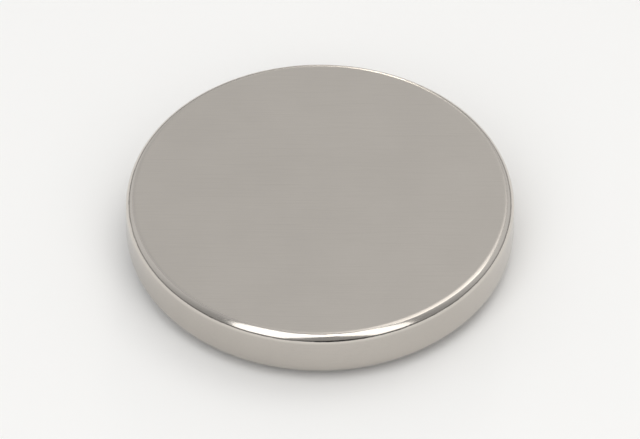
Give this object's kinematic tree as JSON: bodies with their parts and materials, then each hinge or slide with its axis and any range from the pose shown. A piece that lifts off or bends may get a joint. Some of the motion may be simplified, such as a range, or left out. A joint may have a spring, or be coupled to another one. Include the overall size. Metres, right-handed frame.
{
  "type": "lithium coin cell",
  "caption": "Round flat lithium coin cell: a pressed metal can rolled shut over a plastic seal and a stepped cap, with the charge stacked inside.",
  "frame": {"origin": "middle of the negative cap's contact face, which the cell rests on", "axes": "+Z along the cell's axis, from the negative contact face to the positive face"},
  "size_m": [0.02, 0.02, 0.0032],
  "materials": {
    "can_metal": "satin nickel-plated stainless steel, bright on the rim and wall",
    "seal_plastic": "natural moulded polypropylene",
    "cap_metal": "finely dimpled nickel-plated stainless steel",
    "lithium_foil": "soft silvery foil",
    "separator_fleece": "white porous fleece",
    "cathode_mix": "black pressed powder",
    "grid_metal": "expanded stainless sheet"
  },
  "bodies": {
    "root": {"positive_can": "can_metal", "sealing_gasket": "seal_plastic", "negative_cap": "cap_metal", "lithium_anode": "lithium_foil", "separator_cup": "separator_fleece", "cathode_pellet": "cathode_mix", "collector_grid": "grid_metal"}
  },
  "joints": []
}
